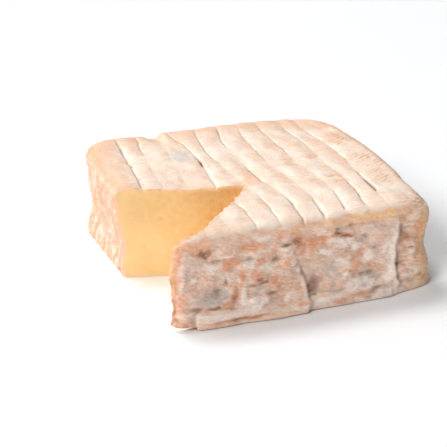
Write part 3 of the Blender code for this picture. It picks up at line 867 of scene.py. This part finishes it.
def side_marks(x, y, z, facing, drift, drift_up, rimless):
    """The marks of the sides: tan, pale, grey, brown and amber, and how much the point is of the rim."""
    crag = crags(x, y, z)
    # Brown and grey in the seams between the lumps are painted shade, and pale on their crests is a
    # painted highlight.
    seam_shade = max(-crag - 0.15, 0)
    crest_highlight = max(crag - 0.25, 0)
    rim = rise(z, 29.5 + 1.5 * lumps(x, y, 0, 6, 7.1), 33)
    foot = rise(-z, -4.5, -2.5)
    tan = 0.6 * max(0.5 * lumps(x, y, z, 7, 6.6) + 0.4 * lumps(x, y, z * 1.5, 2.6, 2.4), 0)
    pale = 0.6 * max(lumps(x, y, z * 1.6, 5, 9.9) - 0.25, 0) + 0.6 * crest_highlight
    grey = 0.6 * max(lumps(x, y, z * 1.3, 6, 4.8) - 0.15, 0) + 0.3 * seam_shade
    brown = 0.8 * seam_shade
    amber = 0
    front = rise(-facing.y, 0.25, 0.7) * rise(-y, HALF - 12, HALF - 8)
    if front > 0:
        flat_x, flat_z = seen(x, z, y + HALF)
        flat_x += 0.4 * drift
        flat_z += 0.4 * drift_up
        rim *= 1 - 0.35 * front * rise(-flat_x, 2, 14)
        front_tan, front_pale, front_grey, front_brown, front_amber = front_marks(flat_x, flat_z, rim)
        tan += front * (front_tan - 0.7 * tan)
        pale += front * (front_pale - 0.7 * pale)
        grey += front * (front_grey - 0.7 * grey)
        brown += front * (front_brown - 0.5 * brown)
        amber += front * front_amber
    rim *= rimless
    tan += rim * (0.6 + 0.8 * lumps(x, y, z * 1.5, 3, 3.0)) + 0.25 * foot
    # Part of the pale along the foot is painted light on the right foot, which turns from the lamps;
    # amber on faces turned right is painted light too.
    pale += foot * (0.4 + rise(x, 24, 34) * rise(-y, 30, 45))
    amber += 0.35 * max(facing.x, 0) * rise(-y, 22, 40)
    amber += 0.45 * max(-facing.x, 0) * rise(y, 34, 44)
    return (tan, pale, grey, brown, amber), rim


def rind_marks(x, y, z, facing, from_cut):
    """The marks at a point of the rind: tan, pale, grey, brown, amber, and how much it is a side."""
    hang = ridge_end(ridge_place(x, y)[1], y)
    side = rise(-z - hang, -(HEIGHT - 0.6), -(HEIGHT - 2.4)) * rise(-facing.z, -0.92, -0.5)
    left_side = rise(-facing.x, 0.1, 0.6) * rise(-x, 42, 47)
    corner = rise(x, 37, 44) * rise(-y, 30, 40)
    drift = 0.9 * lumps(x, y, z, 4, 5.5)
    drift_up = 0.9 * lumps(x, y, z, 4, 8.1)
    here = (0, 0, 0, 0, 0)
    if side < 1:
        of_top = top_marks(x, y, drift, drift_up, (1 - 0.8 * corner) * (1 - 0.8 * left_side))
        here = [(1 - side) * mark for mark in of_top]
    if side > 0:
        rimless = (1 - 0.85 * corner) * (1 - 0.8 * left_side)
        of_side, rim = side_marks(x, y, z, facing, drift, drift_up, rimless)
        here = [mark + side * more for mark, more in zip(here, of_side)]
        side *= 1 - 0.5 * rim
        # High on faces turned right the top's paler colours take over: painted light where the lamps
        # leave them in shade.
        side *= 1 - 0.5 * max(facing.x, 0) * rise(z, 22, 30)
        shoulder = rise(x, 37, 46 - 3 * corner) * rise(z, 28 - corner, 33 - 2 * corner)
        side *= 1 - (0.7 + 0.25 * corner) * shoulder
    tan, pale, grey, brown, amber = here
    streak = left_streak(y, z)
    tan += left_side * (0.38 + 2.0 * max(-streak, 0))
    pale += 0.4 * left_side * max(streak, 0)
    grey *= 1 - 0.8 * left_side
    brown += 0.6 * left_side * max(-streak - 0.15, 0)
    brown *= 1 - 0.5 * left_side
    side += left_side * (0.7 + 0.25 * rise(-y, 40, 48) - side)
    blush = 2.2 if y > -16 else 1.2
    tan += 0.9 * math.exp(-from_cut / blush) * (0.8 + 0.6 * lumps(x, y, z, 3, 6.3))
    # The thin amber line along the cut's edge is a painted highlight.
    amber += 0.7 * math.exp(-from_cut / 0.7)
    return tan, pale, grey, brown, amber, side


MARKS = ("tan", "pale", "grey", "brown", "amber", "side", "depth")
marks = {name: [] for name in MARKS}
mesh.normal_update()
for point in mesh.verts:
    from_cut = 0 if point.index in depths else rim_tree.find(point.co)[2]
    values = rind_marks(point.co.x, point.co.y, point.co.z, point.normal, from_cut)
    for name, value in zip(MARKS, values + (depths.get(point.index, 0),)):
        marks[name].append(value)

bmesh.ops.translate(mesh, verts=mesh.verts, vec=CENTRING)
bmesh.ops.scale(mesh, verts=mesh.verts, vec=(MM, MM, MM))
mesh.to_mesh(cheese.data)
mesh.free()
for name, values in marks.items():
    cheese.data.attributes.new(name, "FLOAT", "POINT").data.foreach_set("value", values)
for polygon in cheese.data.polygons:
    polygon.use_smooth = True

# The rind
# A thin washed rind: cream on the ridges, peach to tan in patches, grey-pink and pitted on the
# sides, with painted shade and painted highlights mixed in from the marks. It is matt with a faint
# tackiness, and a little light goes into it.


def display(red, green, blue):
    """A colour as a screen shows it, 0 to 255, made the linear colour that a material takes."""
    linear = [((part / 255 + 0.055) / 1.055) ** 2.4 for part in (red, green, blue)]
    return (*linear, 1)


class Signal:
    """An output socket with arithmetic: numbers use Math nodes, vectors use Vector Math nodes."""

    def __init__(self, tree, socket):
        self.tree = tree
        self.socket = socket

    def node(self, kind, settings=None, inputs=None, output=0):
        """Adds a node, sets its properties and then its inputs, and gives one of its outputs."""
        made = self.tree.nodes.new(kind)
        for name, value in (settings or {}).items():
            setattr(made, name, value)
        for name, value in (inputs or {}).items():
            if isinstance(value, Signal):
                self.tree.links.new(value.socket, made.inputs[name])
            else:
                made.inputs[name].default_value = value
        return Signal(self.tree, made.outputs[output])

    def math(self, operation, first, second):
        sockets = [part.socket for part in (first, second) if isinstance(part, Signal)]
        plain = all(socket.type == "VALUE" for socket in sockets)
        kind = "ShaderNodeMath" if plain else "ShaderNodeVectorMath"
        return self.node(kind, {"operation": operation}, {0: first, 1: second})

    def __add__(self, other):
        return self.math("ADD", self, other)

    def __radd__(self, other):
        return self.math("ADD", other, self)

    def __sub__(self, other):
        return self.math("SUBTRACT", self, other)

    def __rsub__(self, other):
        return self.math("SUBTRACT", other, self)

    def __mul__(self, other):
        return self.math("MULTIPLY", self, other)

    def __rmul__(self, other):
        return self.math("MULTIPLY", other, self)

    def between(self, low, high):
        """0 at low, 1 at high, and smooth in between."""
        limits = {"Value": self, "From Min": low, "From Max": high}
        return self.node("ShaderNodeMapRange", {"interpolation_type": "SMOOTHSTEP"}, limits)

    def mix(self, first, second):
        """Goes from the first colour to the second as this goes from 0 to 1."""
        return self.node("ShaderNodeMix", {"data_type": "RGBA"}, {0: self, 6: first, 7: second}, 2)

    def noise(self, size, detail, roughness, grain=(1, 1, 1), tilt=0):
        """Noise of this size in metres, drawn out by these lengths and tilted down to the right."""
        limits = {"Vector": self, "Scale": grain, "Rotation": (0, tilt, 0)}
        scaled = self.node("ShaderNodeMapping", {"vector_type": "TEXTURE"}, limits)
        looks = {"Vector": scaled, "Scale": 1 / size, "Detail": detail, "Roughness": roughness}
        return self.node("ShaderNodeTexNoise", {}, looks)


def open_material(material):
    """Turns a material's nodes on, and gives its tree, its shader and the object's position."""
    material.use_nodes = True
    tree = material.node_tree
    shader = tree.nodes["Principled BSDF"]
    coordinates = tree.nodes.new("ShaderNodeTexCoord")
    return tree, shader, Signal(tree, coordinates.outputs["Object"])


def plug(tree, value, shader, name):
    tree.links.new(value.socket, shader.inputs[name])


tree, shader, place = open_material(rind_material)


def mark(place, name):
    """One of the marks that the mesh keeps at its points."""
    return place.node("ShaderNodeAttribute", {"attribute_name": name}, {}, "Fac")


def spread(signal):
    """Noise stretched to reach from 0 to 1."""
    return signal.between(0.3, 0.7)


CREAM = display(249, 230, 212)
WARM_CREAM = display(241, 212, 190)
PEACH = display(242, 203, 178)
SIDE_TAN = display(216, 171, 145)
SIDE_CREAM = display(244, 217, 199)
SIDE_PEACH = display(232, 176, 142)
SIDE_GREY = display(208, 188, 176)
TOP_PALE_COLOUR = display(253, 239, 224)
SIDE_PALE_COLOUR = display(250, 235, 222)
TOP_TAN_COLOUR = display(240, 192, 158)
SIDE_TAN_COLOUR = display(228, 150, 102)
TOP_GREY_COLOUR = display(214, 203, 193)
SIDE_GREY_COLOUR = display(184, 170, 161)
AMBER_COLOUR = display(253, 200, 146)
BROWN_COLOUR = display(150, 98, 70)
BLOOM = display(255, 240, 226)
PORE = display(176, 128, 104)
TILT = 0.3

tan, pale, grey, brown, amber, side = (mark(place, name) for name in MARKS[:6])
broad = spread(place.noise(0.008, 2, 0.5))
mottle = spread(place.noise(0.0032, 3, 0.55, (1, 1, 0.6), TILT))
grain = spread(place.noise(0.0011, 2, 0.5, (1.6, 1, 0.6), TILT))
ragged = (mottle * 0.6 + grain * 0.4 - 0.5) * (0.75 + side * 0.25)
lines = place.noise(0.0013, 2, 0.5, (3.5, 0.8, 0.8)).between(0.56, 0.68)
across = spread(place.noise(0.0042, 4, 0.6, (1.6, 0.7, 0.7)))
smear = spread(place.noise(0.0055, 4, 0.65, (1.3, 1, 0.6), TILT))
streak = spread(place.noise(0.006, 4, 0.65, (1.2, 1, 0.6), TILT))
top_base = broad.mix(CREAM, WARM_CREAM)
top_base = (across.between(0.5, 1) * 0.3).mix(top_base, PEACH)
side_base = smear.mix(SIDE_TAN, SIDE_CREAM)
side_base = (streak.between(0.5, 1) * 0.4).mix(side_base, SIDE_PEACH)
side_base = ((1 - streak).between(0.5, 1) * 0.3).mix(side_base, SIDE_GREY)
colour = side.mix(top_base, side_base)
# The pale, tan, amber, grey and brown marks bring in painted highlights, painted light and painted shade
# as well as the rind's own colours.
pale_amount = (pale + ragged * 0.4).between(0.1, 0.9)
colour = (pale_amount * 0.8).mix(colour, side.mix(TOP_PALE_COLOUR, SIDE_PALE_COLOUR))
tan_amount = (tan + ragged * 0.6 + lines * (tan + 0.15) * 0.6).between(0.1, 1.1)
colour = (tan_amount * 0.72).mix(colour, side.mix(TOP_TAN_COLOUR, SIDE_TAN_COLOUR))
amber_amount = (amber + ragged * 0.6).between(0.15, 1.1)
colour = (amber_amount * 0.8).mix(colour, AMBER_COLOUR)
grey_amount = (grey + ragged * 0.4).between(0.1, 0.95)
colour = (grey_amount * 0.75).mix(colour, side.mix(TOP_GREY_COLOUR, SIDE_GREY_COLOUR))
brown_amount = (brown + ragged * 0.4).between(0.15, 1.0)
colour = (brown_amount * 0.85).mix(colour, BROWN_COLOUR)
colour = (grain.between(0.4, 1) * 0.16).mix(colour, BLOOM)
colour = ((1 - grain).between(0.4, 1) * side * 0.2).mix(colour, PORE)
plug(tree, colour, shader, "Base Color")
plug(tree, 0.6 + mottle * 0.2, shader, "Roughness")
heights = (mottle * 0.6 + grain * 0.3) * (0.65 + side * 0.35)
bump = place.node("ShaderNodeBump", {}, {"Height": heights, "Strength": 0.5, "Distance": 0.0004})
plug(tree, bump, shader, "Normal")
shader.inputs["Subsurface Weight"].default_value = 0.1
shader.inputs["Subsurface Radius"].default_value = (1.0, 0.5, 0.25)
shader.inputs["Subsurface Scale"].default_value = 0.002
shader.inputs["Specular IOR Level"].default_value = 0.35

# The paste
# The soft ripened inside: amber to straw yellow, deeper towards the rind, and deeper amber
# towards the inner end of the notch, partly from ripening and partly as painted shade; smooth
# from the blade, a little moist, and lit through at its edges.

STRAW = display(246, 211, 153)
DEEP_STRAW = display(240, 200, 138)
HEART_AMBER_AND_SHADE = display(205, 152, 84)
PALE_CURD = display(250, 216, 162)
UNDER_RIND = display(244, 206, 166)
# Where the deeper amber, partly ripening and partly painted shade, sets in and where it is full,
# in metres from left to right
HEART_SHADE_START = -0.042
HEART_SHADE_FULL = -0.008

tree, shader, place = open_material(paste_material)
depth = mark(place, "depth")
cloud = place.noise(0.012, 2, 0.5)
curd = place.noise(0.0025, 3, 0.5)
drag = place.noise(0.0012, 2, 0.5, (4, 4, 0.6))
heart_and_shade = place.node("ShaderNodeSeparateXYZ", {}, {0: place}, "X").between(HEART_SHADE_START, HEART_SHADE_FULL)
straw = spread(cloud).mix(STRAW, DEEP_STRAW)
straw = (heart_and_shade * 0.8).mix(straw, HEART_AMBER_AND_SHADE)
straw = (spread(curd) * 0.3).mix(straw, PALE_CURD)
rim_amount = 1 - (depth + curd * 0.8 - 0.4).between(0.3, 1.7)
colour = (rim_amount * 0.8).mix(straw, UNDER_RIND)
plug(tree, colour, shader, "Base Color")
plug(tree, 0.42 + curd * 0.2, shader, "Roughness")
heights = curd * 0.6 + drag * 0.5
bump = place.node("ShaderNodeBump", {}, {"Height": heights, "Strength": 0.25, "Distance": 0.0005})
plug(tree, bump, shader, "Normal")
shader.inputs["Subsurface Weight"].default_value = 0.25
shader.inputs["Subsurface Radius"].default_value = (1.0, 0.6, 0.3)
shader.inputs["Subsurface Scale"].default_value = 0.004
shader.inputs["Specular IOR Level"].default_value = 0.4

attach(cheese, "root")
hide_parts("cheese_block")

# The floor
# A seamless white studio sweep that runs past the picture on every side.

FLOOR_HALF = 4

floor_mesh = bmesh.new()
bmesh.ops.create_grid(floor_mesh, x_segments=1, y_segments=1, size=FLOOR_HALF)
floor = link_object("floor", floor_mesh)
floor_material = bpy.data.materials.new("white_sweep")
shader = open_material(floor_material)[1]
shader.inputs["Base Color"].default_value = (0.95, 0.95, 0.95, 1)
shader.inputs["Roughness"].default_value = 0.9
shader.inputs["Specular IOR Level"].default_value = 0.1
floor.data.materials.append(floor_material)

# The lights
# Three soft boxes, one high behind, one at the left behind and one at the left in front, lay a
# shadow to the right, and the white room round them fills it.

LIGHT_TARGET = Vector((0, 0, 0.02))


def soft_box(name, place, size, power):
    """A round soft light of this size in metres and power in watts, turned to the cheese."""
    data = bpy.data.lights.new(name, "AREA")
    data.shape = "DISK"
    data.size = size
    data.energy = power
    light = bpy.data.objects.new(name, data)
    bpy.context.collection.objects.link(light)
    light.location = place
    light.rotation_euler = (LIGHT_TARGET - Vector(place)).to_track_quat("-Z", "Y").to_euler()


soft_box("high", (-0.564, 1.549, 3.535), 1.4, 61)
soft_box("left", (-2.767, 1.597, 2.237), 3.2, 81)
soft_box("front", (-2.617, -1.832, 2.237), 1.5, 86)

world = bpy.data.worlds.new("white_room")
world.use_nodes = True
background = world.node_tree.nodes["Background"]
background.inputs["Color"].default_value = (0.94, 0.99, 1.06, 1)
background.inputs["Strength"].default_value = 0.165
bpy.context.scene.world = world

# The camera
# Its place and turn were found by fitting the photo's outline, from the front left and above.

CAMERA_PLACE = Vector((-215.61, -504.3, 249.19))
CAMERA_TARGET = Vector((-10.74, 2.01, 14.45))
CAMERA_ROLL = math.radians(0.316)
CAMERA_LENS = 124.56
CAMERA_SENSOR = 36
CAMERA_FAR = 20

camera_data = bpy.data.cameras.new("camera")
camera_data.lens = CAMERA_LENS
camera_data.sensor_width = CAMERA_SENSOR
camera_data.clip_end = CAMERA_FAR
camera = bpy.data.objects.new("camera", camera_data)
bpy.context.collection.objects.link(camera)
camera.location = (CAMERA_PLACE + CENTRING) * MM
camera.rotation_mode = "QUATERNION"
turn = (CAMERA_TARGET - CAMERA_PLACE).to_track_quat("-Z", "Y")
camera.rotation_quaternion = turn @ Matrix.Rotation(CAMERA_ROLL, 3, "Z").to_quaternion()
bpy.context.scene.camera = camera
bpy.context.scene.view_settings.view_transform = "Standard"
